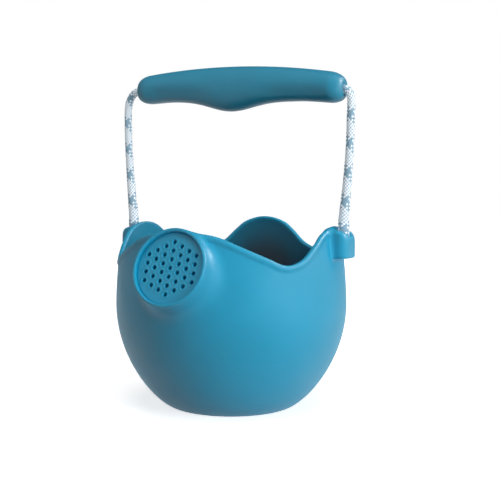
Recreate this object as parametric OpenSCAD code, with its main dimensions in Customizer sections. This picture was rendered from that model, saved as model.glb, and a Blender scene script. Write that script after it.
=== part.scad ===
// Soft moulded watering can: round bowl with a wavy rim, short spout with a
// perforated rose, two side lugs, and a rope handle with a shaped grip.
// Frame: +Z up, -Y towards the spout, +X to the can's own left lug.
// The origin is the centre of the flat base, in millimetres.

/* [Bowl] */
// Largest outside radius of the bowl
belly_r = 75.2; // [74:0.2:77]
// Height of the largest radius
belly_z = 66.4; // [62:0.2:70]
// Radius of the flat base
base_r = 40.5; // [38:0.5:43]
// Wall thickness of the bowl
wall = 2.5; // [2:0.1:3]
// Thickness of the floor
floor_t = 3.5; // [3:0.1:5]

/* [Spout] */
// Height of the centre of the spout's mouth
mouth_z = 95.5; // [94:0.5:97]
// Distance of the mouth's centre from the middle of the can
mouth_y = 81; // [80:0.5:83]
// Upward tilt of the mouth, in degrees
mouth_tilt = 21; // [18:1:24]
// Outside radius of the spout's lip
lip_r = 24; // [23.4:0.1:24.6]
// Radius of the rose plate
rose_r = 21.9; // [21:0.1:22.2]
// Thickness of the rose plate
rose_t = 3.6; // [3:0.1:3.8]
// Depth of the rose plate below the lip
rose_recess = 2.2; // [1.5:0.1:2.6]
// Diameter of a hole in the rose
rose_hole_d = 2.6; // [2.2:0.1:2.8]
// Distance between neighbouring holes
rose_pitch = 5.3; // [4.9:0.1:5.4]

/* [Lugs] */
// Distance of a rope hole from the middle of the can
lug_x = 77; // [76.8:0.1:77.2]
// Distance of both rope holes behind the middle of the can
lug_y = 2; // [1.8:0.1:2.2]
// Width of a lug
lug_w = 19.5; // [18:0.5:21]
// Height of the top of a lug
lug_top = 115; // [114.5:0.5:115.5]
// Height of a lug from its open underside to its top
lug_h = 17.2; // [16:0.2:19]
// Distance of a lug's outer face from the middle of the can
lug_face = 83; // [82.5:0.1:84]

/* [Handle] */
// Diameter of the rope
rope_d = 5.2; // [4.8:0.1:5.4]
// Diameter of the rope at the lugs, where its braid is loose
loose_d = 7.2; // [6.4:0.1:7.4]
// Length of the grip
grip_l = 147; // [145:1:149]
// Height of the middle of the grip's bore
grip_z = 205; // [204:0.5:206]
// Sideways slope of the hanging grip, in degrees
grip_slope = 2.2; // [2:0.1:2.4]
// Thickness of the grip from front to back
grip_t = 21; // [19:0.5:23]

/* [Hidden] */

BLUE = [0.2, 0.55, 0.7];
GRIP_BLUE = [0.18, 0.48, 0.62];
ROPE_WHITE = [0.85, 0.9, 0.95];

// Side outline of the bowl, as two Bezier arcs of [radius, height] that meet at the belly.
bowl_top = 122;
lower_arc = [[base_r, 0], [base_r + 9.5, 3], [belly_r, 30], [belly_r, belly_z]];
upper_arc = [[belly_r, belly_z], [belly_r, 82], [72, 117], [69, bowl_top]];
arc_steps = 10;

// Rim height at each angle from the spout, in degrees and millimetres.
rim_points = [[0, 114.5], [14, 114], [22, 111.8], [31, 107], [44, 100], [53, 95.5], [62, 98],
    [70, 105.5], [78, 113], [90, 117], [104, 115.5], [118, 104.5], [131, 97.5], [144, 99],
    [155, 104], [161, 111], [168, 118], [180, 121.5]];
rim_step = 6;
rim_r = 69.3;

// Route of the left rope from the lug up into the grip.
// The right rope's is its mirror image, but for its top.
pivot_z = 118.8;
side_route = [[-77, 2, 121.9], [-77.5, 2, 128], [-78.3, 2, 136], [-79.3, 2, 148],
    [-80.2, 2, 161], [-80.8, 2, 174]];
top_left = [[-81, 2, 186], [-81, 2, 194], [-80.2, 2, 199.8], [-78, 2, 204.3], [-74.8, 2, 207],
    [-71.4, 2, 207.8], [-68.5, 2, 207.7]];
top_right = [[-81, 2, 185], [-81.3, 2, 192], [-81, 2, 196.5], [-79.7, 2, 200], [-77.4, 2, 201.8],
    [-75, 2, 202.2], [-72.5, 2, 202.3]];
rope_sides = 12;

// Length over which the rope's braid is loose, from the pivot up.
loose_l = 50;

// The grip's bore passes through this point, sloping down towards +X.
grip_at = [2, lug_y, grip_z];
grip_slide = 1.5;
bore_r = 3.2;
bore_mouth_r = 3.8;
bore_flare = 5;
core_half = 71.3;

// The grip's half height at its ends, its arched top, its slimmer stretches and its belly.
grip_end_r = 9.1;
grip_arch = 5.8;
grip_waist = 1.5;
grip_belly = 6.3;
waist_start = 44;
waist_fade = 30;
belly_x = -4.5;
belly_spread = 21;
grip_step = 7.5;
grip_straight = 60;
end_round = 8;
end_shrink = 0.5;
grip_sides = 24;

// Rounding of a lug's outer top and side edges, and the walls of its pocket.
lug_edge_r = 8;
lug_side_r = 6;
lug_root = 66;
pocket_wall = 2.6;
pocket_roof = 3;
pocket_back = 73;

// The knot in a lug's pocket, and the rope's tail below it.
knot_z = 105.5;
knot_w = 12;
tail_bottom = 99;
tail_x = 0.4;
tail_r = 2.3;

spout_base_r = 31;
spout_reach = 24;
channel_r = 19.6;
anchor_gap = 0.4;
tip_r = 0.3;
cone_h = 3.1;

function bezier(p, t) = pow(1 - t, 3) * p[0] + 3 * t * pow(1 - t, 2) * p[1]
    + 3 * pow(t, 2) * (1 - t) * p[2] + pow(t, 3) * p[3];

// Point on the bowl's side outline, from the base (0) over the belly (1) to the rim (2).
function side_point(t) = t < 1 ? bezier(lower_arc, t) : bezier(upper_arc, t - 1);

// Unit vector from that point into the wall.
function inward(t) = let (d = side_point(min(t + 0.01, 2)) - side_point(max(t - 0.01, 0)))
    [-d[1], d[0]] / norm(d);

// Cubic curve through p1 and p2, with the slopes that p0 and p3 give.
function smooth_between(p0, p1, p2, p3, x) =
    let (
        w = p2[0] - p1[0],
        t = (x - p1[0]) / w,
        s1 = (p2[1] - p0[1]) / (p2[0] - p0[0]) * w,
        s2 = (p3[1] - p1[1]) / (p3[0] - p1[0]) * w
    )
    p1[1] * (2 * pow(t, 3) - 3 * pow(t, 2) + 1) + s1 * (pow(t, 3) - 2 * pow(t, 2) + t)
        + p2[1] * (3 * pow(t, 2) - 2 * pow(t, 3)) + s2 * (pow(t, 3) - pow(t, 2));

// Rim height at an angle from the spout. The curve is level at both ends.
function rim_z(angle, i = 0) = angle > rim_points[i + 1][0] ? rim_z(angle, i + 1)
    : smooth_between(rim_before(i), rim_points[i], rim_points[i + 1], rim_after(i + 1), angle);
function rim_before(i) = i > 0 ? rim_points[i - 1] : [-rim_points[1][0], rim_points[1][1]];
function rim_after(i) = i < len(rim_points) - 1 ? rim_points[i + 1]
    : [360 - rim_points[i - 1][0], rim_points[i - 1][1]];

module bowl_solid() {
    rotate_extrude($fn = 96)
        polygon(concat([[0, 0]], [for (i = [0 : 2 * arc_steps]) side_point(i / arc_steps)], [[0, bowl_top]]));
}

module bowl_hollow() {
    inner = [for (i = [1 : 2 * arc_steps]) side_point(i / arc_steps) + wall * inward(i / arc_steps)];
    above = [for (p = inner) if (p[1] > floor_t + 1) p];
    rotate_extrude($fn = 96)
        polygon(concat([[0, floor_t], [above[0][0] - 2, floor_t]], above,
            [[above[len(above) - 1][0], bowl_top + 8], [0, bowl_top + 8]]));
}

// Everything above the wavy rim, as one prism along X.
module above_rim() {
    edge = [for (a = [0 : rim_step : 180]) [-rim_r * cos(a), rim_z(a)]];
    far = belly_r + 15;
    high = bowl_top + 18;
    rotate([90, 0, 90])
        linear_extrude(height = 2 * far, center = true)
            polygon(concat([[-far, high], [-far, rim_z(0)]], edge, [[far, rim_z(180)], [far, high]]));
}

// Places children at the spout's mouth, with +Z out of the mouth and +Y up its face.
module at_mouth() {
    translate([0, -mouth_y, mouth_z])
        rotate([90 - mouth_tilt, 0, 0])
            children();
}

module spout_solid() {
    at_mouth()
        translate([0, 0, -spout_reach])
            cylinder(h = spout_reach, r1 = spout_base_r, r2 = lip_r, $fn = 72);
}

module spout_hollow() {
    at_mouth() {
        translate([0, 0, -rose_recess - rose_t])
            cylinder(h = rose_recess + rose_t + 1, r = rose_r, $fn = 72);
        translate([0, 0, -spout_reach])
            cylinder(h = spout_reach, r = channel_r, $fn = 72);
    }
}

// Outline of a lug seen along Y, with a round outer top edge.
module lug_outline(inset) {
    edge_r = lug_edge_r - inset;
    roof = inset > 0 ? lug_top - pocket_roof : lug_top;
    bottom = lug_top - lug_h - inset;
    face = lug_face - inset;
    translate([lug_root, bottom])
        square([face - edge_r - lug_root, roof - bottom]);
    translate([lug_root, bottom])
        square([face - lug_root, roof - edge_r - bottom]);
    translate([face - edge_r, roof - edge_r])
        circle(r = edge_r, $fn = 32);
}

// Outline of a lug seen from above, with round outer corners.
module lug_plan(inset) {
    edge_r = lug_side_r - inset;
    half = lug_w / 2 - inset;
    face = lug_face - inset;
    translate([lug_root, -half])
        square([face - edge_r - lug_root, 2 * half]);
    translate([lug_root, edge_r - half])
        square([face - lug_root, 2 * (half - edge_r)]);
    for (side = [-1, 1])
        translate([face - edge_r, side * (half - edge_r)])
            circle(r = edge_r, $fn = 32);
}

module lug(inset) {
    translate([0, lug_y, 0])
        intersection() {
            rotate([90, 0, 0])
                linear_extrude(height = lug_w, center = true)
                    lug_outline(inset);
            translate([0, 0, lug_top - 2 * lug_h])
                linear_extrude(height = 3 * lug_h)
                    lug_plan(inset);
        }
}

module rope_hole() {
    translate([lug_x, lug_y, knot_z - 1])
        cylinder(h = lug_top - knot_z + 3, r = loose_d / 2 + 0.1, $fn = 32);
}

module both_sides() {
    children();
    mirror([1, 0, 0])
        children();
}

// Bowl, spout and lugs are one soft moulding.
module bucket() {
    color(BLUE)
        difference() {
            union() {
                difference() {
                    bowl_solid();
                    above_rim();
                }
                spout_solid();
                both_sides()
                    lug(0);
            }
            bowl_hollow();
            spout_hollow();
            both_sides() {
                intersection() {
                    lug(pocket_wall);
                    translate([pocket_back, -lug_w, lug_top - 2 * lug_h])
                        cube([20, 2 * lug_w, 2 * lug_h]);
                }
                rope_hole();
            }
        }
}

// Rows run up the rose: seven in the middle and one fewer in each row beside it.
module rose_holes() {
    for (column = [-3 : 3])
        for (i = [0 : 6 - abs(column)])
            translate([column * rose_pitch, (i - (6 - abs(column)) / 2) * rose_pitch, -0.1])
                cylinder(h = rose_t + 0.2, r = rose_hole_d / 2, $fn = 20);
}

module rose_plate() {
    color(BLUE)
        at_mouth()
            translate([0, 0, -rose_recess - rose_t])
                difference() {
                    cylinder(h = rose_t, r = rose_r, $fn = 72);
                    rose_holes();
                }
}

// Length of rope in a lug's hole. It ends in a point at the pivot.
module rope_anchor() {
    straight = pivot_z - anchor_gap / 2 - cone_h;
    color(ROPE_WHITE)
        translate([lug_x, lug_y, 0]) {
            translate([0, 0, knot_z])
                cylinder(h = straight - knot_z, r = loose_d / 2, $fn = 32);
            translate([0, 0, straight])
                cylinder(h = cone_h, r1 = loose_d / 2, r2 = tip_r, $fn = 32);
        }
}

// Stop knot, pressed flat in the lug's pocket, with the rope's short tail below it.
module knot() {
    color(ROPE_WHITE)
        translate([lug_x, lug_y, 0]) {
            hull()
                for (side = [-1, 1])
                    translate([0, side * (knot_w - rope_d) / 2, knot_z - 0.5])
                        sphere(r = rope_d / 2 + 0.1, $fn = 24);
            translate([tail_x, -(knot_w - rope_d) / 2, tail_bottom])
                cylinder(h = knot_z - tail_bottom, r = tail_r, $fn = 32);
        }
}

// Ring of a tube: points around p in the plane square to the direction d.
function ring(p, d, r) =
    let (
        side = cross(d, [0, 1, 0]) / norm(cross(d, [0, 1, 0])),
        front = cross(side, d)
    )
    [for (k = [0 : rope_sides - 1]) let (a = 360 * k / rope_sides) p + r * (cos(a) * side + sin(a) * front)];

// Direction of a route at its point i.
function heading(route, i) =
    let (d = route[min(i + 1, len(route) - 1)] - route[max(i - 1, 0)])
    d / norm(d);

// Tube along a route, with the radius given for each point.
module tube(route, radii) {
    n = len(route);
    points = [for (i = [0 : n - 1]) each ring(route[i], heading(route, i), radii[i])];
    sides = [for (i = [0 : n - 2], k = [0 : rope_sides - 1])
        let (a = i * rope_sides + k, b = i * rope_sides + (k + 1) % rope_sides)
        [a, b, b + rope_sides, a + rope_sides]];
    first = [for (k = [rope_sides - 1 : -1 : 0]) k];
    last = [for (k = [0 : rope_sides - 1]) (n - 1) * rope_sides + k];
    polyhedron(points, concat([first], sides, [last]), convexity = 6);
}

// Radius of the rope at a height. It narrows upward from the lug.
function rope_r(z) = let (t = min((z - pivot_z) / loose_l, 1))
    rope_d / 2 + (loose_d - rope_d) / 2 * pow(1 - t, 2);

// One free side of the rope. Its first ring is the point at the pivot.
module rope_side(top) {
    start = [[side_route[0][0], lug_y, pivot_z + anchor_gap / 2]];
    route = concat(start, side_route, top);
    radii = concat([tip_r], [for (p = concat(side_route, top)) rope_r(p[2])]);
    color(ROPE_WHITE)
        tube(route, radii);
}

// Places children at the middle of the grip's bore, with +Z along the bore towards +X.
module at_bore() {
    translate(grip_at)
        rotate([0, 90 + grip_slope, 0])
            children();
}

// Length of rope inside the grip.
module rope_core() {
    color(ROPE_WHITE)
        at_bore()
            cylinder(h = 2 * core_half, r = rope_d / 2, center = true, $fn = 32);
}

// Upper and lower edges of the grip above and below its bore, at a distance x along it.
function grip_top(x) = grip_end_r + grip_arch * (1 - pow(2 * abs(x) / grip_l, 2));
function grip_bottom(x) = grip_end_r - grip_waist * (1 - ease((abs(x) - waist_start) / waist_fade))
    + grip_belly * exp(-pow((x - belly_x) / belly_spread, 2));
function ease(t) = let (s = min(max(t, 0), 1)) s * s * (3 - 2 * s);

// Share of its full size that a section of the grip has, for its rounded ends.
function end_size(x) =
    let (d = max(0, abs(x) - grip_l / 2 + end_round) / end_round)
    1 - end_shrink * (1 - sqrt(1 - pow(min(d, 1), 2)));

// Section of the grip at x: an oval with its own upper and lower heights.
function grip_ring(x) =
    [for (k = [0 : grip_sides - 1])
        let (a = 360 * k / grip_sides, h = sin(a) > 0 ? grip_top(x) : grip_bottom(x))
        [-end_size(x) * h * sin(a), end_size(x) * grip_t / 2 * cos(a), x]];

grip_xs = concat([for (i = [0 : 4]) -grip_l / 2 + end_round * (1 - cos(22.5 * i))],
    [for (x = [-grip_straight : grip_step : grip_straight]) x],
    [for (i = [4 : -1 : 0]) grip_l / 2 - end_round * (1 - cos(22.5 * i))]);

module grip_shape() {
    n = len(grip_xs);
    points = [for (x = grip_xs) each grip_ring(x)];
    sides = [for (i = [0 : n - 2], k = [0 : grip_sides - 1])
        let (a = i * grip_sides + k, b = i * grip_sides + (k + 1) % grip_sides)
        each [[a, b, b + grip_sides], [a, b + grip_sides, a + grip_sides]]];
    first = [for (k = [grip_sides - 1 : -1 : 0]) k];
    last = [for (k = [0 : grip_sides - 1]) (n - 1) * grip_sides + k];
    polyhedron(points, concat([first], sides, [last]), convexity = 6);
}

// Moulded grip, with a bore for the rope that flares at both ends.
module grip() {
    color(GRIP_BLUE)
        at_bore()
            translate([0, 0, grip_slide])
                difference() {
                    grip_shape();
                    cylinder(h = grip_l + 2, r = bore_r, center = true, $fn = 48);
                    for (end = [0, 180])
                        rotate([end, 0, 0])
                            translate([0, 0, grip_l / 2 - bore_flare])
                                cylinder(h = bore_flare + 0.01, r1 = bore_r, r2 = bore_mouth_r, $fn = 48);
                }
}

bucket();
rose_plate();
mirror([1, 0, 0]) rope_anchor();  // rope_anchor_left
rope_anchor();  // rope_anchor_right
mirror([1, 0, 0]) knot();  // knot_left
knot();  // knot_right
rope_side(top_left);  // rope_left
mirror([1, 0, 0]) rope_side(top_right);  // rope_right
rope_core();
grip();
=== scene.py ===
"""Soft moulded watering can with a braided rope handle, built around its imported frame.

Lengths are in metres, as in the frame. Local shapes that are worked out in millimetres say so.
Left and right are as seen from the spout's side, so left is -X.
"""

import math

import bmesh
import bpy
import numpy as np
from mathutils import Matrix, Vector


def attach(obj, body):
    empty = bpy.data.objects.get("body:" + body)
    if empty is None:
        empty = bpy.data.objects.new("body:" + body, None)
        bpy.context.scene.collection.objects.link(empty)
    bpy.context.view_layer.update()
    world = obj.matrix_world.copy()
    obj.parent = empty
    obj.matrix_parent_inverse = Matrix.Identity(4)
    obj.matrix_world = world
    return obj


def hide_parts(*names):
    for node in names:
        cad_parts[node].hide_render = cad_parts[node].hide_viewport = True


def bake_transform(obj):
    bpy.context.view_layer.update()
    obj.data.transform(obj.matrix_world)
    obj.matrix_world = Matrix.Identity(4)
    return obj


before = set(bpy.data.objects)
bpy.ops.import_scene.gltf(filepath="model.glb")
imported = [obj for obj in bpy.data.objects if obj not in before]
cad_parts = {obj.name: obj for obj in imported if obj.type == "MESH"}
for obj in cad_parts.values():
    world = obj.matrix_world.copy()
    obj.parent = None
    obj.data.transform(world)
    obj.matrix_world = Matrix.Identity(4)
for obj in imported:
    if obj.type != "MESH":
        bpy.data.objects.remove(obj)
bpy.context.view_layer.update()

MM = 0.001
BODY_CAN = "can"
BODY_GRIP = "grip"

# ---------------------------------------------------------------- camera

LOOK_AT = Vector((0, 0, 0.1008))
CAMERA_AZIMUTH = math.radians(26.9)
CAMERA_ELEVATION = math.radians(3.54)
CAMERA_DISTANCE = 0.5906
CAMERA_LENS = 64.8
CAMERA_SHIFT = 0.0374


def make_camera():
    """Camera at the photograph's angle. The shift keeps the can left of the middle."""
    data = bpy.data.cameras.new("camera")
    data.sensor_width = 36
    data.lens = CAMERA_LENS
    data.shift_x = CAMERA_SHIFT
    data.clip_start = 0.01
    camera = bpy.data.objects.new("camera", data)
    bpy.context.scene.collection.objects.link(camera)
    flat = math.cos(CAMERA_ELEVATION)
    away = Vector((
        math.sin(CAMERA_AZIMUTH) * flat,
        -math.cos(CAMERA_AZIMUTH) * flat,
        math.sin(CAMERA_ELEVATION),
    ))
    camera.location = LOOK_AT + CAMERA_DISTANCE * away
    camera.rotation_euler = (-away).to_track_quat("-Z", "Y").to_euler()
    bpy.context.scene.camera = camera


# ---------------------------------------------------------------- shared mesh code

def ease(t):
    """0 before 0, 1 after 1, smooth between."""
    s = np.clip(t, 0, 1)
    return s * s * (3 - 2 * s)


def new_piece(name, points, faces, materials):
    """A smooth-shaded mesh object from points in metres."""
    mesh = bpy.data.meshes.new(name)
    mesh.from_pydata(points.tolist(), [], faces.tolist())
    mesh.polygons.foreach_set("use_smooth", np.ones(len(mesh.polygons), bool))
    for material in materials:
        mesh.materials.append(material)
    mesh.update()
    piece = bpy.data.objects.new(name, mesh)
    bpy.context.scene.collection.objects.link(piece)
    return piece


def swept_faces(rings, sides):
    """Quads between the rings of a tube, each ring with the same number of sides."""
    ring = np.arange(rings - 1)[:, None] * sides
    k = np.arange(sides)[None, :]
    a = ring + k
    b = ring + (k + 1) % sides
    return np.stack([a, b, b + sides, a + sides], axis=-1).reshape(-1, 4)


def smooth_max(a, b, k):
    """Larger of two distances, with the edge between them rounded over about k."""
    h = np.clip(0.5 + 0.5 * (a - b) / k, 0, 1)
    return b + (a - b) * h + k * h * (1 - h)


def smooth_min(a, b, k):
    """Smaller of two distances, with the corner between them filleted over about k."""
    h = np.clip(0.5 + 0.5 * (b - a) / k, 0, 1)
    return b + (a - b) * h - k * h * (1 - h)


def box_distance(offsets, half, edge_r):
    """Distance to a box with round edges, from offsets to its middle along each of its axes."""
    q = [np.abs(o) - h + edge_r for o, h in zip(offsets, half)]
    outside = np.sqrt(sum(np.maximum(c, 0) ** 2 for c in q))
    inside = np.minimum(np.maximum.reduce(q), 0)
    return outside + inside - edge_r


CELL_CORNERS = [(i, j, k) for i in (0, 1) for j in (0, 1) for k in (0, 1)]
CELL_EDGES = [(a, b) for a in range(8) for b in range(a + 1, 8)
              if sum(abs(u - v) for u, v in zip(CELL_CORNERS[a], CELL_CORNERS[b])) == 1]


def grid_values(field, low, step, counts):
    """The field at each node of a grid, one slab at a time."""
    xs, ys, zs = (low[i] + step * np.arange(counts[i]) for i in range(3))
    y, z = np.meshgrid(ys, zs, indexing="ij")
    return np.stack([field(np.full(y.shape, x), y, z) for x in xs])


def surface_cells(values):
    """Average crossing point, in grid steps, of each cell that the surface passes through."""
    n = [c - 1 for c in values.shape]
    corner = [values[i:i + n[0], j:j + n[1], k:k + n[2]] for i, j, k in CELL_CORNERS]
    inside = sum((c < 0).astype(np.int8) for c in corner)
    at = np.argwhere((inside > 0) & (inside < 8))
    picked = [c[tuple(at.T)] for c in corner]
    total = np.zeros((len(at), 3))
    hits = np.zeros(len(at))
    for a, b in CELL_EDGES:
        crosses = (picked[a] < 0) != (picked[b] < 0)
        gap = np.where(crosses, picked[a] - picked[b], 1)
        t = np.where(crosses, picked[a] / gap, 0)[:, None]
        start = np.array(CELL_CORNERS[a])
        run = np.array(CELL_CORNERS[b]) - start
        total += np.where(crosses[:, None], start + t * run, 0)
        hits += crosses
    return at, at + total / hits[:, None]


def surface_quads(values, cells):
    """A quad round each grid edge that the surface crosses, facing out of the shape."""
    index = np.full([c - 1 for c in values.shape], -1)
    index[tuple(cells.T)] = np.arange(len(cells))
    quads = []
    for axis in range(3):
        u, v = (axis + 1) % 3, (axis + 2) % 3
        low = np.take(values, range(values.shape[axis] - 1), axis)
        high = np.take(values, range(1, values.shape[axis]), axis)
        at = np.argwhere((low < 0) != (high < 0))
        at = at[(at[:, u] > 0) & (at[:, v] > 0)]
        step_u = np.eye(3, dtype=int)[u]
        step_v = np.eye(3, dtype=int)[v]
        ring = [at - step_u - step_v, at - step_v, at, at - step_u]
        quad = np.stack([index[tuple(c.T)] for c in ring], axis=1)
        leaves = low[tuple(at.T)] < 0
        quads.append(np.where(leaves[:, None], quad, quad[:, ::-1]))
    return np.concatenate(quads)


def gradient(field, p, eps=0.02):
    """Slope of the field at each point."""
    sides = []
    for axis in range(3):
        d = np.zeros(3)
        d[axis] = eps
        ahead, behind = p + d, p - d
        sides.append((field(*ahead.T) - field(*behind.T)) / (2 * eps))
    return np.stack(sides, axis=1)


def onto_surface(field, p, step, rounds):
    """Moves points onto the surface where the field is 0."""
    for _ in range(rounds):
        g = gradient(field, p)
        size = np.maximum((g ** 2).sum(1), 0.05)
        shift = -field(*p.T)[:, None] * g / size[:, None]
        length = np.maximum(np.linalg.norm(shift, axis=1), 1e-9)
        p = p + shift * np.minimum(1, 0.4 * step / length)[:, None]
    return p


def even_out(p, quads):
    """Moves each point halfway to the middle of its neighbours."""
    total = np.zeros_like(p)
    count = np.zeros(len(p))
    for i in range(4):
        a, b = quads[:, i], quads[:, (i + 1) % 4]
        for u, v in ((a, b), (b, a)):
            for axis in range(3):
                total[:, axis] += np.bincount(u, p[v, axis], len(p))
            count += np.bincount(u, minlength=len(p))
    return 0.5 * (p + total / count[:, None])


def mesh_field(field, low, high, step, relax=2):
    """Points and quads on the surface where the field is 0, in the field's own units."""
    counts = [int(math.ceil((h - l) / step)) + 1 for l, h in zip(low, high)]
    values = grid_values(field, low, step, counts)
    cells, p = surface_cells(values)
    quads = surface_quads(values, cells)
    p = np.array(low) + step * p
    p = onto_surface(field, p, step, 3)
    for _ in range(relax):
        p = onto_surface(field, even_out(p, quads), step, 2)
    return p, quads


# ---------------------------------------------------------------- materials

# Noise scales, in cycles per metre.
CLOUD = 28
UNEVEN_GLOSS = 90
PAPER_GRAIN = 400
SPRAYED_GRAIN = 1600
FIBRES = 2500


def new_material(name):
    material = bpy.data.materials.new(name)
    material.use_nodes = True
    tree = material.node_tree
    return material, tree, tree.nodes["Principled BSDF"]


def object_noise(tree, scale, detail, roughness=0.5):
    """Noise that keeps to the object, with its scale in cycles per metre."""
    where = tree.nodes.new("ShaderNodeTexCoord")
    noise = tree.nodes.new("ShaderNodeTexNoise")
    noise.inputs["Scale"].default_value = scale
    noise.inputs["Detail"].default_value = detail
    noise.inputs["Roughness"].default_value = roughness
    tree.links.new(where.outputs["Object"], noise.inputs["Vector"])
    return noise.outputs["Fac"]


def ramp(tree, value, stops):
    """Colour ramp from (position, colour) stops."""
    node = tree.nodes.new("ShaderNodeValToRGB")
    marks = node.color_ramp.elements
    while len(marks) < len(stops):
        marks.new(0.5)
    for mark, (position, colour) in zip(marks, stops):
        mark.position = position
        mark.color = colour
    tree.links.new(value, node.inputs["Fac"])
    return node.outputs["Color"]


def map_range(tree, value, start, end, low=0, high=1):
    """Maps a value from start...end to low...high, and no further."""
    node = tree.nodes.new("ShaderNodeMapRange")
    node.inputs["From Min"].default_value = start
    node.inputs["From Max"].default_value = end
    node.inputs["To Min"].default_value = low
    node.inputs["To Max"].default_value = high
    tree.links.new(value, node.inputs["Value"])
    return node


def mesh_value(tree, name):
    """A number that the mesh carries at each of its points."""
    node = tree.nodes.new("ShaderNodeAttribute")
    node.attribute_name = name
    return node.outputs["Fac"]


def mix_colours(tree, factor):
    """Colour mix. Its A shows where the factor is 0 and its B where it is 1."""
    mix = tree.nodes.new("ShaderNodeMix")
    mix.data_type = "RGBA"
    tree.links.new(factor, mix.inputs["Factor"])
    return mix


def mix_shaders(tree, factor, first, second):
    """Shader mix, the first where the factor is 0 and the second where it is 1."""
    mix = tree.nodes.new("ShaderNodeMixShader")
    tree.links.new(factor, mix.inputs["Fac"])
    tree.links.new(first, mix.inputs[1])
    tree.links.new(second, mix.inputs[2])
    return mix.outputs["Shader"]


def add_bump(tree, shader, height, strength, distance):
    bump = tree.nodes.new("ShaderNodeBump")
    bump.inputs["Strength"].default_value = strength
    bump.inputs["Distance"].default_value = distance
    tree.links.new(height, bump.inputs["Height"])
    tree.links.new(bump.outputs["Normal"], shader.inputs["Normal"])


def silicone(name, deep, pale, rough_low, rough_high, inside=None):
    """Matt moulded silicone: a fine sprayed grain, cloudy tint and slightly uneven gloss.

    inside is the colour where the mesh's "inside" attribute is 1. It is painted shade: darker than the
    real silicone, it stands for the deep shade inside the bowl."""
    material, tree, shader = new_material(name)
    cloud = object_noise(tree, CLOUD, 3)
    tint = ramp(tree, cloud, [(0.3, deep), (0.7, pale)])
    if inside:
        mix = mix_colours(tree, mesh_value(tree, "inside"))
        tree.links.new(tint, mix.inputs["A"])
        mix.inputs["B"].default_value = inside
        tint = mix.outputs["Result"]
    tree.links.new(tint, shader.inputs["Base Color"])
    gloss = map_range(tree, object_noise(tree, UNEVEN_GLOSS, 4), 0, 1, rough_low, rough_high)
    tree.links.new(gloss.outputs["Result"], shader.inputs["Roughness"])
    shader.inputs["Specular IOR Level"].default_value = 0.8
    shader.inputs["Sheen Weight"].default_value = 0.03
    shader.inputs["Sheen Roughness"].default_value = 0.6
    shader.inputs["Sheen Tint"].default_value = (0.6, 0.85, 1, 1)
    add_bump(tree, shader, object_noise(tree, SPRAYED_GRAIN, 2, 0.6), 0.12, 0.0002)
    return material


# Painted shade for the grooves between the braid's strands.
GROOVE_PAINTED_SHADE = (0.24, 0.36, 0.46, 1)


def yarn(name, deep, pale, glow):
    """Soft polyester yarn with fine fibres, with painted shade in the grooves of the braid.

    The mesh's "relief" attribute is 1 on top of a strand. glow is emission, a painted light that makes the
    yarn glow though it is no lamp and lightens its shaded side; it stands for the light that scatters
    through the yarn."""
    material, tree, shader = new_material(name)
    fibres = object_noise(tree, FIBRES, 3, 0.7)
    # Painted shade where the relief is low, in the grooves.
    on_top = map_range(tree, mesh_value(tree, "relief"), 0.3, 0.8)
    tint = mix_colours(tree, on_top.outputs["Result"])
    tint.inputs["A"].default_value = GROOVE_PAINTED_SHADE
    tree.links.new(ramp(tree, fibres, [(0.3, deep), (0.65, pale)]), tint.inputs["B"])
    tree.links.new(tint.outputs["Result"], shader.inputs["Base Color"])
    tree.links.new(tint.outputs["Result"], shader.inputs["Emission Color"])
    shader.inputs["Roughness"].default_value = 0.75
    shader.inputs["Emission Strength"].default_value = glow
    shader.inputs["Sheen Weight"].default_value = 0.3
    shader.inputs["Sheen Roughness"].default_value = 0.5
    add_bump(tree, shader, fibres, 0.35, 0.0002)
    return material


# The bowl's inside colour is painted shade, darker than the silicone.
BOWL_BLUE = silicone("bowl_silicone", (0.003, 0.315, 0.52, 1), (0.005, 0.345, 0.57, 1), 0.46, 0.56,
                     inside=(0.018, 0.036, 0.05, 1))
GRIP_BLUE = silicone("grip_silicone", (0.004, 0.215, 0.345, 1), (0.006, 0.245, 0.39, 1), 0.46, 0.56)
# The last number of each yarn is painted light: emission that makes the rope glow though it is no lamp.
YARN_WHITE = yarn("rope_white", (0.80, 0.87, 0.92, 1), (0.95, 0.97, 0.99, 1), 0.42)
YARN_BLUE = yarn("rope_blue", (0.18, 0.36, 0.48, 1), (0.36, 0.56, 0.68, 1), 0.2)

# ---------------------------------------------------------------- rope

# The left rope's route, as in the frame's rope nodes, from inside the lug up into the grip. The
# right rope's is its mirror image, but for its top.
LUG_HOLE = [(-0.077, 0.002, 0.108), (-0.077, 0.002, 0.112), (-0.077, 0.002, 0.117)]
SIDE_ROUTE = [(-0.077, 0.002, 0.1219), (-0.0775, 0.002, 0.128), (-0.0783, 0.002, 0.136),
              (-0.0793, 0.002, 0.148), (-0.0802, 0.002, 0.161), (-0.0808, 0.002, 0.174)]
TOP_LEFT = [(-0.081, 0.002, 0.186), (-0.081, 0.002, 0.194), (-0.0802, 0.002, 0.1998),
            (-0.078, 0.002, 0.2043), (-0.0748, 0.002, 0.207), (-0.0714, 0.002, 0.2078),
            (-0.0685, 0.002, 0.2077)]
TOP_RIGHT = [(-0.081, 0.002, 0.185), (-0.0813, 0.002, 0.192), (-0.081, 0.002, 0.1965),
             (-0.0797, 0.002, 0.200), (-0.0774, 0.002, 0.2018), (-0.075, 0.002, 0.2022),
             (-0.0725, 0.002, 0.2023)]
# Height of the swing's axis.
PIVOT_Z = 0.1188

# The braid is loose and wider at the lugs, and narrows over LOOSE_L.
ROPE_D = 0.0052
LOOSE_D = 0.0072
LOOSE_L = 0.05
ROPE_SIDES = 56
RING_STEP = 0.00045
CURVE_STEPS = 40
CARRIERS = 8
BRAID_PITCH = 0.0178
YARN_RELIEF = 0.00034
# The blue strands among the CARRIERS that wind each way. Where they cross they make a patch.
BLUE_RIGHT = (4, 5, 6)
BLUE_LEFT = (6, 7)
# Powers that shape the relief across the strand on top and across the one under it.
OVER_POWER = 0.7
UNDER_POWER = 0.3


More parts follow.
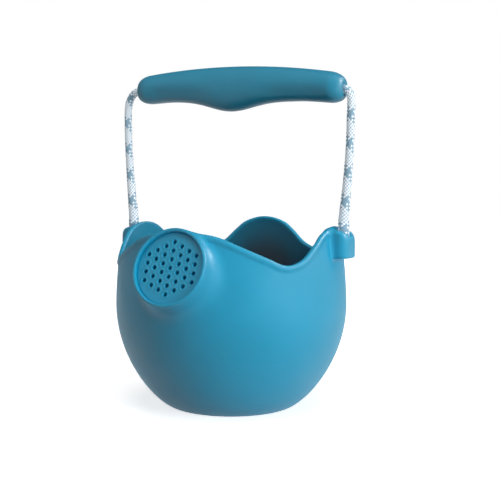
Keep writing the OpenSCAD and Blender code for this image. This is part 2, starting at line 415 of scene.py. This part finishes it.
def smooth_line(route, step):
    """Evenly spaced points along a smooth curve through a route, and each one's distance along it."""
    p = np.array(route, float)
    ends = np.vstack([2 * p[0] - p[1], p, 2 * p[-1] - p[-2]])
    dense = []
    for i in range(len(p) - 1):
        a, b, c, d = ends[i:i + 4]
        t = np.linspace(0, 1, CURVE_STEPS, endpoint=False)[:, None]
        dense.append(0.5 * (2 * b + (c - a) * t + (2 * a - 5 * b + 4 * c - d) * t ** 2
                            + (3 * b - a - 3 * c + d) * t ** 3))
    dense = np.vstack(dense + [p[-1:]])
    run = np.concatenate([[0], np.cumsum(np.linalg.norm(np.diff(dense, axis=0), axis=1))])
    at = np.linspace(0, run[-1], max(int(run[-1] / step), 2) + 1)
    line = np.stack([np.interp(at, run, dense[:, i]) for i in range(3)], axis=1)
    return line, at


def carried_frames(line):
    """Two directions square to the line at each point, turned as little as possible along it."""
    heading = np.gradient(line, axis=0)
    heading /= np.linalg.norm(heading, axis=1)[:, None]
    side = np.cross(heading[0], [0, 1, 0])
    side /= np.linalg.norm(side)
    sides = []
    for h in heading:
        side = side - h * side.dot(h)
        side /= np.linalg.norm(side)
        sides.append(side)
    sides = np.array(sides)
    return sides, np.cross(heading, sides)


def braid_at(angle, along):
    """Relief (0 to 1) and yarn colour (True for blue) of the braid at an angle and a distance along it."""
    turns = angle / (2 * math.pi)
    u = CARRIERS * (turns + along / BRAID_PITCH)
    v = CARRIERS * (turns - along / BRAID_PITCH)
    i, j = np.floor(u), np.floor(v)
    across_u = np.sin(math.pi * (u - i))
    across_v = np.sin(math.pi * (v - j))
    right_over = (i + j) % 2 == 0
    over = np.where(right_over, across_u, across_v)
    under = np.where(right_over, across_v, across_u)
    relief = over ** OVER_POWER * under ** UNDER_POWER
    blue = np.where(right_over, np.isin(i % CARRIERS, BLUE_RIGHT), np.isin(j % CARRIERS, BLUE_LEFT))
    return relief, blue


def braided_tube(name, line, along, radius, share):
    """Braided rope along a line, closed at both ends. share scales the radius at each point."""
    side, front = carried_frames(line)
    k = np.arange(ROPE_SIDES)
    angle = np.broadcast_to(2 * math.pi * k / ROPE_SIDES, (len(line), ROPE_SIDES))
    s = np.broadcast_to(along[:, None], angle.shape)
    relief, _ = braid_at(angle, s)
    r = (radius - YARN_RELIEF * (1 - relief)) * share[:, None]
    points = (line[:, None] + r[..., None] * (np.cos(angle)[..., None] * side[:, None]
                                             + np.sin(angle)[..., None] * front[:, None]))
    points = points.reshape(-1, 3)
    faces = swept_faces(len(line), ROPE_SIDES)
    last = (len(line) - 1) * ROPE_SIDES
    caps = [list(range(ROPE_SIDES))[::-1], list(range(last, last + ROPE_SIDES))]
    piece = new_piece(name, points, faces, [YARN_WHITE, YARN_BLUE])
    ring = np.arange(len(faces)) // ROPE_SIDES
    middle_angle = 2 * math.pi * (np.arange(len(faces)) % ROPE_SIDES + 0.5) / ROPE_SIDES
    middle_along = (along[ring] + along[ring + 1]) / 2
    _, blue = braid_at(middle_angle, middle_along)
    piece.data.polygons.foreach_set("material_index", blue.astype(np.int32))
    height = piece.data.attributes.new("relief", "FLOAT", "POINT")
    height.data.foreach_set("value", relief.reshape(-1).astype(np.float32))
    close_ends(piece, caps)
    return piece


def close_ends(piece, caps):
    """Adds a flat face at each end of a tube."""
    shape = bmesh.new()
    shape.from_mesh(piece.data)
    shape.verts.ensure_lookup_table()
    for cap in caps:
        shape.faces.new([shape.verts[i] for i in cap])
    shape.normal_update()
    shape.to_mesh(piece.data)
    shape.free()


def mirrored(route):
    return [(-x, y, z) for x, y, z in route]


def make_rope_side(name, route, hidden):
    """One free side of the rope, from inside a lug to inside the grip, bending at the pivot."""
    line, along = smooth_line(route, RING_STEP)
    loose = np.clip((line[:, 2] - PIVOT_Z) / LOOSE_L, 0, 1)
    width = 1 + (LOOSE_D / ROPE_D - 1) * (1 - loose) ** 2
    piece = braided_tube(name, line, along, ROPE_D / 2, width)
    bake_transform(piece)
    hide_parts(*hidden)


make_camera()
make_rope_side("rope_side_left", LUG_HOLE + SIDE_ROUTE + TOP_LEFT, ("rope_left", "rope_anchor_left"))
make_rope_side("rope_side_right", mirrored(LUG_HOLE + SIDE_ROUTE + TOP_RIGHT),
               ("rope_right", "rope_anchor_right"))

# ---------------------------------------------------------------- bowl, worked out in millimetres

BASE_R = 40.5
BELLY_R = 75.2
BELLY_Z = 66.4
BOWL_TOP = 122
WALL = 2.5
FLOOR = 3.5
FLOOR_FILLET = 4
LOWER_ARC = [(BASE_R, 0), (BASE_R + 9.5, 3), (BELLY_R, 30), (BELLY_R, BELLY_Z)]
UPPER_ARC = [(BELLY_R, BELLY_Z), (BELLY_R, 82), (72, 117), (69, BOWL_TOP)]
# The outline goes on this far above the bowl's top and past its middle, so that it is closed.
PAST_TOP = 30
PAST_MIDDLE = 20

# Rim height at each angle from the spout, in degrees and millimetres.
RIM_POINTS = [(0, 114.5), (14, 114), (22, 111.8), (31, 107), (44, 100), (53, 95.5), (62, 98),
              (70, 105.5), (78, 113), (90, 117), (104, 115.5), (118, 104.5), (131, 97.5), (144, 99),
              (155, 104), (161, 111), (168, 118), (180, 121.5)]
# Weights that round the rim's curve, from neighbouring half degrees.
RIM_SMOOTHING = [1, 4, 9, 13, 15, 13, 9, 4, 1]
RIM_EDGE = 1.1
BEAD_H = 3.6
BEAD_OUT = 0.75
BEAD_EDGE = 1.1
BEAD_FILLET = 0.4

# The frame's rim is the same on both sides. Here its back peak is turned to the left, by an angle
# that grows from BACK_FROM over BACK_FADE degrees, and its left peak is a little higher.
BACK_TURN = 6
BACK_FROM = 105
BACK_FADE = 40
LEFT_LIFT = 1.3
LEFT_PEAK = 92
LEFT_SPREAD = 17

# The painted shade inside the bowl begins in the wall, at this share of its thickness. It grows with
# depth, and fades out to the left of SHADE_LEFT, whose inside the key light reaches.
SHADE_WALL = 0.6
SHADE_DEPTH = 30
SHADE_LEAST = 0.6
SHADE_LEFT = 20
SHADE_SPREAD = 45

MOUTH = (0, -81, 95.5)
MOUTH_TILT = math.radians(21)
LIP_R = 24
ROSE_R = 21.9
ROSE_T = 3.6
ROSE_RECESS = 2.2
CHANNEL_R = 19.6
SPOUT_FLARE = 0.12
SPOUT_REACH = 26
SPOUT_EDGE = 1.0
# The fillet between bowl and spout is RIM_FILLET at the rim, and SPOUT_FILLET well below it.
SPOUT_FILLET = 7
RIM_FILLET = 3
FILLET_START = 1
FILLET_FADE = 12
CHANNEL_EDGE = 0.7
CHANNEL_DEPTH = 40

LUG_X = 77
LUG_Y = 2
LUG_FACE = 83
LUG_ROOT = 68
LUG_TOP = 115
LUG_H = 17.2
LUG_W = 19.5
LUG_EDGE = 8
LUG_SIDE = 6
LUG_WALL = 2.6
LUG_FILLET = 2.5
LUG_BLEND = 2
UNDERSIDE_EDGE = 1
POCKET_BACK = 73
POCKET_EDGE = 0.5
HOLE_R = 3.75
HOLE_DEPTH = 10
HOLE_EDGE = 0.5


def bezier(arc, t):
    a, b, c, d = (np.array(p, float) for p in arc)
    t = t[:, None]
    return (1 - t) ** 3 * a + 3 * t * (1 - t) ** 2 * b + 3 * t ** 2 * (1 - t) * c + t ** 3 * d


TABLE_STEP = 0.5
TABLE_R = np.arange(-2, 96, TABLE_STEP)
TABLE_Z = np.arange(-12, 136, TABLE_STEP)


def outline_table():
    """Signed distance to the bowl's side outline, for each radius and height in the table."""
    t = np.linspace(0, 1, 60)
    arcs = np.vstack([bezier(LOWER_ARC, t), bezier(UPPER_ARC, t[1:])])
    lean = arcs[-1] - arcs[-2]
    top = arcs[-1] + lean / lean[1] * PAST_TOP
    line = np.vstack([[-PAST_MIDDLE, 0], arcs, top, [-PAST_MIDDLE, top[1]]])
    r, z = np.meshgrid(TABLE_R, TABLE_Z, indexing="ij")
    nearest = np.full(r.shape, 1e9)
    inside = np.zeros(r.shape, bool)
    for (ar, az), (br, bz) in zip(line, np.roll(line, -1, axis=0)):
        dr, dz = br - ar, bz - az
        s = np.clip(((r - ar) * dr + (z - az) * dz) / (dr * dr + dz * dz), 0, 1)
        nearest = np.minimum(nearest, np.hypot(r - ar - s * dr, z - az - s * dz))
        if az != bz:
            crosses = (az > z) != (bz > z)
            inside ^= crosses & (r < ar + (z - az) / (bz - az) * dr)
    return np.where(inside, -nearest, nearest)


OUTLINE = outline_table()


def outline_distance(r, z):
    """Distance to the bowl's outer surface, in proportion between the table's entries."""
    u = np.clip((r - TABLE_R[0]) / TABLE_STEP, 0, len(TABLE_R) - 1.001)
    v = np.clip((z - TABLE_Z[0]) / TABLE_STEP, 0, len(TABLE_Z) - 1.001)
    i, j = u.astype(int), v.astype(int)
    a, b = u - i, v - j
    return ((1 - a) * (1 - b) * OUTLINE[i, j] + a * (1 - b) * OUTLINE[i + 1, j]
            + (1 - a) * b * OUTLINE[i, j + 1] + a * b * OUTLINE[i + 1, j + 1])


def rim_table():
    """Rim height for each half degree from the spout, from cubic curves through the rim's points."""
    before = (-RIM_POINTS[1][0], RIM_POINTS[1][1])
    after = (360 - RIM_POINTS[-2][0], RIM_POINTS[-2][1])
    p = np.array([before] + RIM_POINTS + [after])
    angles = np.arange(0, 180.25, 0.5)
    heights = []
    for angle in angles:
        i = min(np.searchsorted(p[:, 0], angle, side="right") - 1, len(p) - 3)
        i = max(i, 1)
        w = p[i + 1, 0] - p[i, 0]
        t = (angle - p[i, 0]) / w
        s1 = (p[i + 1, 1] - p[i - 1, 1]) / (p[i + 1, 0] - p[i - 1, 0]) * w
        s2 = (p[i + 2, 1] - p[i, 1]) / (p[i + 2, 0] - p[i, 0]) * w
        heights.append(p[i, 1] * (2 * t ** 3 - 3 * t ** 2 + 1) + s1 * (t ** 3 - 2 * t ** 2 + t)
                       + p[i + 1, 1] * (3 * t ** 2 - 2 * t ** 3) + s2 * (t ** 3 - t ** 2))
    kernel = np.array(RIM_SMOOTHING, float)
    padded = np.pad(heights, len(kernel) // 2, mode="reflect")
    return angles, np.convolve(padded, kernel / kernel.sum(), mode="valid")


RIM_ANGLES, RIM_HEIGHTS = rim_table()
RIM_SLOPES = np.gradient(RIM_HEIGHTS, np.radians(RIM_ANGLES))


def above_rim(x, y, z, r):
    """Distance above the rim's wavy edge, square to the edge."""
    angle = np.degrees(np.arctan2(x, -y))
    lift = LEFT_LIFT * np.exp(-((angle + LEFT_PEAK) / LEFT_SPREAD) ** 2)
    angle = angle - BACK_TURN * ease((np.abs(angle) - BACK_FROM) / BACK_FADE)
    angle = np.minimum(np.abs(angle), 360 - np.abs(angle))
    slope = np.interp(angle, RIM_ANGLES, RIM_SLOPES) / np.maximum(r, 20)
    return (z - lift - np.interp(angle, RIM_ANGLES, RIM_HEIGHTS)) / np.sqrt(1 + slope ** 2)


def mouth_place(x, y, z):
    """Distance from the spout's axis, and depth behind the mouth along it."""
    dy, dz = y - MOUTH[1], z - MOUTH[2]
    c, s = math.cos(MOUTH_TILT), math.sin(MOUTH_TILT)
    depth = dy * c - dz * s
    up = dy * s + dz * c
    return np.hypot(x, up), depth


def corner_distance(x, y, edge_r):
    """Distance to a square corner that points to +x and +y, with a round edge."""
    x, y = x + edge_r, y + edge_r
    return np.minimum(np.maximum(x, y), 0) + np.hypot(np.maximum(x, 0), np.maximum(y, 0)) - edge_r


def lug_block(x, y, z):
    """Distance to a lug with no underside: round along its outer top edge and its upright edges."""
    side = np.abs(y - LUG_Y) - LUG_W / 2
    upright = corner_distance(x - LUG_FACE, side, LUG_SIDE)
    top = corner_distance(x - LUG_FACE, z - LUG_TOP, LUG_EDGE)
    return np.maximum(smooth_max(upright, top, LUG_BLEND), LUG_ROOT - x)


def bucket_field(x, y, z):
    """Distance to the bowl moulding: bowl, wavy beaded rim, spout and both lugs."""
    r = np.hypot(x, y)
    d = outline_distance(r, z)
    above = above_rim(x, y, z, r)
    x = np.abs(x)
    bowl = smooth_max(d, above, RIM_EDGE)
    bead_half = (WALL + BEAD_OUT) / 2
    bead = box_distance((d + WALL - bead_half, above + BEAD_H / 2), (bead_half, BEAD_H / 2), BEAD_EDGE)
    bowl = smooth_min(bowl, bead, BEAD_FILLET)
    from_axis, depth = mouth_place(x, y, z)
    spout = (from_axis - LIP_R - SPOUT_FLARE * np.maximum(depth, 0)) / math.hypot(1, SPOUT_FLARE)
    spout = smooth_max(spout, -depth, SPOUT_EDGE)
    spout = smooth_max(spout, depth - SPOUT_REACH, SPOUT_EDGE)
    fillet = RIM_FILLET + (SPOUT_FILLET - RIM_FILLET) * ease((-above - FILLET_START) / FILLET_FADE)
    solid = smooth_min(bowl, spout, fillet)
    block = lug_block(x, y, z)
    lug = smooth_max(block, LUG_TOP - LUG_H - z, UNDERSIDE_EDGE)
    lug = smooth_max(lug, -np.maximum(block + LUG_WALL, POCKET_BACK - x), POCKET_EDGE)
    solid = smooth_min(solid, lug, LUG_FILLET)
    hollow = smooth_max(d + WALL, FLOOR - z, FLOOR_FILLET)
    shell = smooth_max(solid, -hollow, RIM_EDGE)
    seat = np.maximum(from_axis - ROSE_R, depth - ROSE_RECESS - ROSE_T)
    channel = np.maximum(np.minimum(seat, from_axis - CHANNEL_R), depth - CHANNEL_DEPTH)
    shell = smooth_max(shell, -channel, CHANNEL_EDGE)
    hole = np.maximum(np.hypot(x - LUG_X, y - LUG_Y) - HOLE_R, LUG_TOP - HOLE_DEPTH - z)
    return smooth_max(shell, -hole, HOLE_EDGE)


BUCKET_STEP = 1.06
BUCKET_LOW = (-84, -93.5, -2.5)
BUCKET_HIGH = (84, 78.5, 125)


def make_bucket():
    """The bowl, spout and lugs in one mesh, with the share of the painted shade inside the bowl at each
    point.
    """
    points, quads = mesh_field(bucket_field, BUCKET_LOW, BUCKET_HIGH, BUCKET_STEP)
    piece = new_piece("bowl_moulding", points * MM, quads, [BOWL_BLUE])
    x, y, z = points.T
    r = np.hypot(x, y)
    below = -above_rim(x, y, z, r)
    into_wall = (-outline_distance(r, z) - SHADE_WALL * WALL) / ((1 - SHADE_WALL) * WALL)
    # Painted shade inside the bowl: it grows with depth and fades out on the left.
    painted_shade_share = ease(into_wall) * ease(below / BEAD_H)
    painted_shade_share *= SHADE_LEAST + (1 - SHADE_LEAST) * ease(below / SHADE_DEPTH)
    painted_shade_share *= 1 - ease((-x - SHADE_LEFT) / SHADE_SPREAD)
    share = piece.data.attributes.new("inside", "FLOAT", "POINT")
    share.data.foreach_set("value", painted_shade_share.astype(np.float32))
    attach(piece, BODY_CAN)
    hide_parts("bucket")


# ---------------------------------------------------------------- rose, in its own millimetres

ROSE_PITCH = 5.3
ROSE_HOLE_R = 1.25
ROSE_EDGE = 0.5
ROSE_TAPER = 0.1
ROSE_RIM_EDGE = 0.4
ROSE_GAP = 0.05
ROSE_STEP = 0.36
ROSE_ROOM = 0.8
ROSE_ROOM_UP = 0.7
# A low collar stands round each hole.
COLLAR_R = 1.9
COLLAR_H = 0.25
COLLAR_HALF = 0.5


def rose_hole_places():
    """Middles of the holes: seven in the middle column, and one fewer in each column further out."""
    return [(column * ROSE_PITCH, (i - (6 - abs(column)) / 2) * ROSE_PITCH)
            for column in range(-3, 4) for i in range(7 - abs(column))]


def rose_field(x, y, z):
    """Distance to the perforated disc, with its front at height ROSE_T."""
    nearest = np.full(np.shape(x), 99.0)
    for hx, hy in rose_hole_places():
        nearest = np.minimum(nearest, np.hypot(x - hx, y - hy))
    collar = COLLAR_H * np.exp(-((nearest - COLLAR_R) / COLLAR_HALF) ** 2)
    faces = np.maximum(z - ROSE_T + COLLAR_H - collar, -z)
    disc = smooth_max(np.hypot(x, y) - ROSE_R + ROSE_GAP, faces, ROSE_RIM_EDGE)
    return smooth_max(disc, ROSE_HOLE_R - ROSE_TAPER * (ROSE_T - z) - nearest, ROSE_EDGE)


def make_rose():
    step = ROSE_STEP
    edge = ROSE_R + ROSE_ROOM
    points, quads = mesh_field(rose_field, (-edge, -edge, -ROSE_ROOM_UP),
                               (edge, edge, ROSE_T + ROSE_ROOM_UP), step)
    piece = new_piece("rose", points * MM, quads, [BOWL_BLUE])
    turn = Matrix.Rotation(math.pi / 2 - MOUTH_TILT, 4, "X")
    place = Matrix.Translation(Vector(MOUTH) * MM) @ turn
    piece.data.transform(place @ Matrix.Translation((0, 0, -(ROSE_RECESS + ROSE_T) * MM)))
    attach(piece, BODY_CAN)
    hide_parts("rose_plate")


# ---------------------------------------------------------------- grip, in millimetres along its bore

GRIP_AT = (2, 2, 205)
GRIP_SLIDE = 1.5
GRIP_SLOPE = math.radians(2.2)
GRIP_L = 147
GRIP_T = 21
GRIP_END_R = 9.1
GRIP_ARCH = 5.8
GRIP_WAIST = 1.5
WAIST_START = 44
WAIST_FADE = 30
GRIP_BELLY = 6.3
BELLY_X = -4.5
BELLY_SPREAD = 21
# The ends round over GRIP_ROUND, and come in by these two amounts.
GRIP_ROUND = 9
END_IN_ACROSS = 6.2
END_IN_UP = 4.7
BORE_R = 3
BORE_MOUTH_R = 3.1
MOUTH_EDGE = 0.7
BORE_DEPTH = 14
FLARE_START = 0.35
GRIP_SIDES = 72
GRIP_RINGS = 110
# Power of the section's outline, a little squarer than an oval's 2.
GRIP_BLUNT = 2.25
# A shallow groove runs along each side of the grip, and fades out at its middle and its ends.
GRIP_GROOVE = 0.13
GROOVE_LOW = 3.5
GROOVE_HALF = 4
GROOVE_START = 12
GROOVE_FADE_IN = 20
GROOVE_END = 68
GROOVE_FADE_OUT = 14


def grip_top(x):
    return GRIP_END_R + GRIP_ARCH * (1 - (2 * abs(x) / GRIP_L) ** 2)


def grip_bottom(x):
    waist = GRIP_WAIST * (1 - ease((abs(x) - WAIST_START) / WAIST_FADE))
    return GRIP_END_R - waist + GRIP_BELLY * math.exp(-((x - BELLY_X) / BELLY_SPREAD) ** 2)


def grip_section(x, in_across=0, in_up=0):
    """Points round the grip at x, as (across, up), inside the full outline by two amounts."""
    a = np.linspace(0, 2 * math.pi, GRIP_SIDES, endpoint=False)
    c, s = np.cos(a), np.sin(a)
    across = (GRIP_T / 2 - in_across) * np.sign(c) * np.abs(c) ** (2 / GRIP_BLUNT)
    height = np.where(s > 0, grip_top(x), grip_bottom(x)) - in_up
    up = height * np.sign(s) * np.abs(s) ** (2 / GRIP_BLUNT)
    groove = GRIP_GROOVE * ease((abs(x) - GROOVE_START) / GROOVE_FADE_IN)
    groove *= ease((GROOVE_END - abs(x)) / GROOVE_FADE_OUT)
    below = np.exp(-((up + GROOVE_LOW) / GROOVE_HALF) ** 2)
    return np.stack([across * (1 - groove * below), up], axis=1)


def bore_section(r):
    a = np.linspace(0, 2 * math.pi, GRIP_SIDES, endpoint=False)
    return np.stack([r * np.cos(a), r * np.sin(a)], axis=1)


def grip_end_rings(end):
    """Rings from inside the bore's mouth, round its edge and over the grip's rounded end."""
    half = GRIP_L / 2
    rings = []
    for t in np.linspace(0, 1, 8):
        flare = ease((t - FLARE_START) / (1 - FLARE_START))
        rings.append((end * (half - BORE_DEPTH + (BORE_DEPTH - MOUTH_EDGE) * t),
                      bore_section(BORE_R + (BORE_MOUTH_R - BORE_R) * flare)))
    for t in np.linspace(0.2, 1, 5):
        bend = t * math.pi / 2
        rings.append((end * (half - MOUTH_EDGE * (1 - math.sin(bend))),
                      bore_section(BORE_MOUTH_R + MOUTH_EDGE * (1 - math.cos(bend)))))
    for t in np.linspace(0, 1, 14):
        bend = t * math.pi / 2
        x = end * (half - GRIP_ROUND * (1 - math.cos(bend)))
        share = 1 - math.sin(bend)
        rings.append((x, grip_section(x, END_IN_ACROSS * share, END_IN_UP * share)))
    return rings


def make_grip():
    half = GRIP_L / 2 - GRIP_ROUND
    left = grip_end_rings(-1)
    right = grip_end_rings(1)
    middle = [(x, grip_section(x)) for x in np.linspace(-half, half, GRIP_RINGS)[1:-1]]
    rings = left + middle + right[::-1]
    points = np.array([(x, across, up) for x, section in rings for across, up in section])
    faces = swept_faces(len(rings), GRIP_SIDES)
    piece = new_piece("grip_moulding", points * MM, faces, [GRIP_BLUE])
    place = Matrix.Translation(Vector(GRIP_AT) * MM) @ Matrix.Rotation(GRIP_SLOPE, 4, "Y")
    piece.data.transform(place @ Matrix.Translation((GRIP_SLIDE * MM, 0, 0)))
    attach(piece, BODY_GRIP)
    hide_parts("grip")


# ---------------------------------------------------------------- knots

KNOT_D = 0.0046
KNOT_LOOP = [(0.077, 0.002, 0.1085), (0.0775, 0.004, 0.1065), (0.0778, 0.0062, 0.1045),
             (0.0772, 0.0056, 0.1022), (0.0766, 0.0026, 0.1012), (0.0766, -0.0006, 0.1025),
             (0.0772, -0.0018, 0.1045), (0.0778, 0, 0.1066), (0.0772, 0.0025, 0.1062),
             (0.0766, 0.001, 0.1035), (0.0771, -0.0012, 0.1012), (0.0774, -0.0016, 0.0992)]
TAIL_PINCH = 0.35
TAIL_PINCH_L = 0.0015


def make_knot(name, route, node):
    """Stop knot in a lug's pocket: one loop and a short tail, pinched at its cut end."""
    line, along = smooth_line(route, RING_STEP)
    end = along[-1] - along
    pinch = 1 - TAIL_PINCH * (1 - ease(end / TAIL_PINCH_L))
    piece = braided_tube(name, line, along, KNOT_D / 2, pinch)
    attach(piece, BODY_CAN)
    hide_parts(node)


make_bucket()
make_rose()
make_grip()
make_knot("knot_tied_right", KNOT_LOOP, "knot_right")
make_knot("knot_tied_left", mirrored(KNOT_LOOP), "knot_left")


def finish_core():
    """The rope inside the grip keeps its frame shape and takes the yarn's finish."""
    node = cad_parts["rope_core"]
    for place in node.material_slots:
        place.material = YARN_WHITE


finish_core()

# ---------------------------------------------------------------- studio

FLOOR_HALF = 6
# Seen by the camera or mirrored, the floor glows more from FLOOR_NEAR out to FLOOR_FAR.
FLOOR_NEAR = 0.1
FLOOR_FAR = 0.9
FLOOR_GLOW_NEAR = 0.75
FLOOR_GLOW_FAR = 1.0
FLOOR_DIM = (0.12, 0.12, 0.12, 1)
# In gloss the world brightens from BACK_GLOSS, behind the can, to FRONT_GLOSS in front of it.
WORLD_LIGHT = 0.002
BACK_GLOSS = 0.08
FRONT_GLOSS = 2.0
BACK_Y = 0.5
FRONT_Y = -0.8


def area_light(name, place, aim, size, power, diffuse=True, glossy=True):
    """Soft rectangular light. One without diffuse or glossy doesn't reach that kind of surface."""
    data = bpy.data.lights.new(name, "AREA")
    data.shape = "RECTANGLE"
    data.size, data.size_y = size
    data.energy = power
    light = bpy.data.objects.new(name, data)
    bpy.context.scene.collection.objects.link(light)
    light.location = place
    light.rotation_euler = (Vector(aim) - Vector(place)).to_track_quat("-Z", "Y").to_euler()
    light.visible_diffuse = diffuse
    light.visible_glossy = glossy


def make_floor():
    """Pale paper floor. It is white to the camera and in gloss, but dim as light on the can."""
    h = FLOOR_HALF
    points = np.array([(-h, -h, 0), (h, -h, 0), (h, h, 0), (-h, h, 0)], float)
    material, tree, shader = new_material("floor_paper")
    grain = object_noise(tree, PAPER_GRAIN, 2)
    tree.links.new(ramp(tree, grain, [(0.2, (0.86, 0.86, 0.86, 1)), (0.8, (0.9, 0.9, 0.9, 1))]),
                   shader.inputs["Base Color"])
    shader.inputs["Roughness"].default_value = 0.9
    shader.inputs["Emission Color"].default_value = (1, 1, 1, 1)
    where = tree.nodes.new("ShaderNodeTexCoord")
    far = tree.nodes.new("ShaderNodeVectorMath")
    far.operation = "LENGTH"
    tree.links.new(where.outputs["Object"], far.inputs[0])
    glow = map_range(tree, far.outputs["Value"], FLOOR_NEAR, FLOOR_FAR, FLOOR_GLOW_NEAR, FLOOR_GLOW_FAR)
    glow.interpolation_type = "SMOOTHSTEP"
    tree.links.new(glow.outputs["Result"], shader.inputs["Emission Strength"])
    dim = tree.nodes.new("ShaderNodeBsdfDiffuse")
    dim.inputs["Color"].default_value = FLOOR_DIM
    path = tree.nodes.new("ShaderNodeLightPath")
    bright = tree.nodes.new("ShaderNodeMath")
    bright.operation = "MAXIMUM"
    tree.links.new(path.outputs["Is Camera Ray"], bright.inputs[0])
    tree.links.new(path.outputs["Is Glossy Ray"], bright.inputs[1])
    surface = mix_shaders(tree, bright.outputs["Value"], dim.outputs["BSDF"], shader.outputs["BSDF"])
    tree.links.new(surface, tree.nodes["Material Output"].inputs["Surface"])
    floor = new_piece("floor", points, np.array([[0, 1, 2, 3]]), [material])


def make_world():
    """White to the camera and nearly dark as light. In gloss it is bright towards -Y only."""
    world = bpy.data.worlds.new("studio")
    world.use_nodes = True
    bpy.context.scene.world = world
    tree = world.node_tree
    seen = tree.nodes["Background"]
    seen.inputs["Color"].default_value = (1, 1, 1, 1)
    seen.inputs["Strength"].default_value = 1.0
    lit = tree.nodes.new("ShaderNodeBackground")
    lit.inputs["Color"].default_value = (0.95, 0.98, 1, 1)
    lit.inputs["Strength"].default_value = WORLD_LIGHT
    where = tree.nodes.new("ShaderNodeTexCoord")
    split = tree.nodes.new("ShaderNodeSeparateXYZ")
    tree.links.new(where.outputs["Generated"], split.inputs["Vector"])
    front = map_range(tree, split.outputs["Y"], BACK_Y, FRONT_Y, BACK_GLOSS, FRONT_GLOSS)
    mirrored_world = tree.nodes.new("ShaderNodeBackground")
    tree.links.new(front.outputs["Result"], mirrored_world.inputs["Strength"])
    path = tree.nodes.new("ShaderNodeLightPath")
    unseen = mix_shaders(tree, path.outputs["Is Glossy Ray"], lit.outputs["Background"],
                         mirrored_world.outputs["Background"])
    surface = mix_shaders(tree, path.outputs["Is Camera Ray"], unseen, seen.outputs["Background"])
    tree.links.new(surface, tree.nodes["World Output"].inputs["Surface"])


make_floor()
make_world()
area_light("key", (1.22, -0.3, 0.22), (0, 0, 0.1), (0.7, 0.7), 13.2, glossy=False)
area_light("low", (0.9, -0.6, 0.12), (0, 0, 0.06), (0.4, 0.25), 1.4, glossy=False)
area_light("top", (0.15, -0.25, 1.2), (0, 0, 0.15), (0.8, 0.8), 8, glossy=False)
area_light("back", (-0.6, 1.2, 0.3), (0, 0, 0.1), (0.8, 0.8), 2.4, glossy=False)
area_light("shine", (0.75, 0.38, 0.62), (0, -0.07, 0.09), (0.22, 0.22), 8, diffuse=False)
bpy.context.scene.view_settings.view_transform = "Standard"
bpy.context.scene.view_settings.look = "None"
